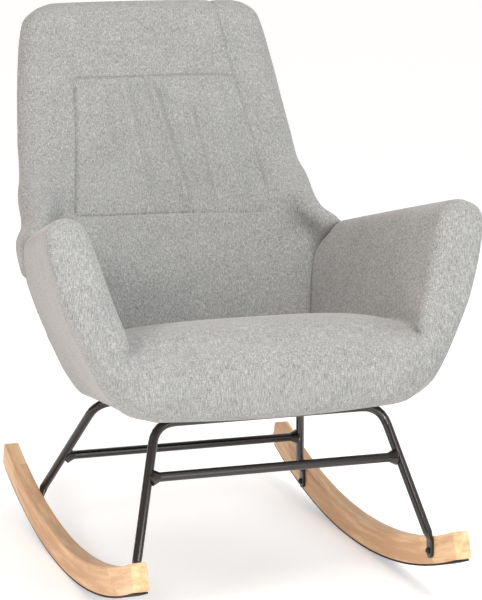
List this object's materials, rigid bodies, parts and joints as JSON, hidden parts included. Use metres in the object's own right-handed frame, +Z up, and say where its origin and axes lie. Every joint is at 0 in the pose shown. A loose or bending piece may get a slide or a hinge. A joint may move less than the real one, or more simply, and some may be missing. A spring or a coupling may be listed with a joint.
{
  "type": "rocking chair",
  "caption": "Upholstered tub rocking chair with a tall raked back and flared arms, on bent steel leg hoops bolted to curved wooden rockers.",
  "frame": {"origin": "middle of the base: centre of the bounding box in X and Y, on the floor the rockers stand on", "axes": "+Z up, the sitter faces -Y, so +X is the sitter's left; the chair is symmetric about X = 0"},
  "size_m": [0.7556, 0.9712, 0.9689],
  "materials": {
    "upholstery": "heathered light grey woven upholstery",
    "beech": "clear satin lacquer on light beech",
    "black_steel": "satin brown-black powder coat",
    "black_bolt": "black oxide",
    "zinc": "zinc plate",
    "rubber": "matt black",
    "pine": "unfinished pine",
    "webbing": "elastic webbing",
    "dust_cloth": "black non-woven lining"
  },
  "bodies": {
    "root": {"rocker_left": "beech", "rocker_right": "beech", "grip_strip_left": "rubber", "grip_strip_right": "rubber", "front_leg_hoop": "black_steel", "rear_leg_hoop": "black_steel", "front_stretcher": "black_steel", "rear_stretcher": "black_steel", "mount_plate_front_left": "black_steel", "mount_plate_front_right": "black_steel", "mount_plate_rear_left": "black_steel", "mount_plate_rear_right": "black_steel", "rocker_bolt_front_left": "black_bolt", "rocker_bolt_front_right": "black_bolt", "rocker_bolt_rear_left": "black_bolt", "rocker_bolt_rear_right": "black_bolt", "seat_bolt_front_left": "black_bolt", "seat_bolt_front_right": "black_bolt", "seat_bolt_rear_left": "black_bolt", "seat_bolt_rear_right": "black_bolt", "rocker_insert_front_left": "zinc", "rocker_insert_front_right": "zinc", "rocker_insert_rear_left": "zinc", "rocker_insert_rear_right": "zinc", "tee_nut_front_left": "zinc", "tee_nut_front_right": "zinc", "tee_nut_rear_left": "zinc", "tee_nut_rear_right": "zinc", "seat_side_rail_left": "pine", "seat_side_rail_right": "pine", "seat_front_rail": "pine", "seat_rear_rail": "pine", "corner_block_front_left": "pine", "corner_block_front_right": "pine", "corner_block_rear_left": "pine", "corner_block_rear_right": "pine", "back_post_left": "pine", "back_post_right": "pine", "back_top_rail": "pine", "back_lower_rail": "pine", "seat_webbing_1": "webbing", "seat_webbing_2": "webbing", "seat_webbing_3": "webbing", "seat_webbing_4": "webbing", "seat_webbing_5": "webbing", "back_webbing_1": "webbing", "back_webbing_2": "webbing", "back_webbing_3": "webbing", "dust_cover": "dust_cloth", "seat_cushion": "upholstery", "arm_cushion_left": "upholstery", "arm_cushion_right": "upholstery", "back_cushion": "upholstery"}
  },
  "joints": []
}
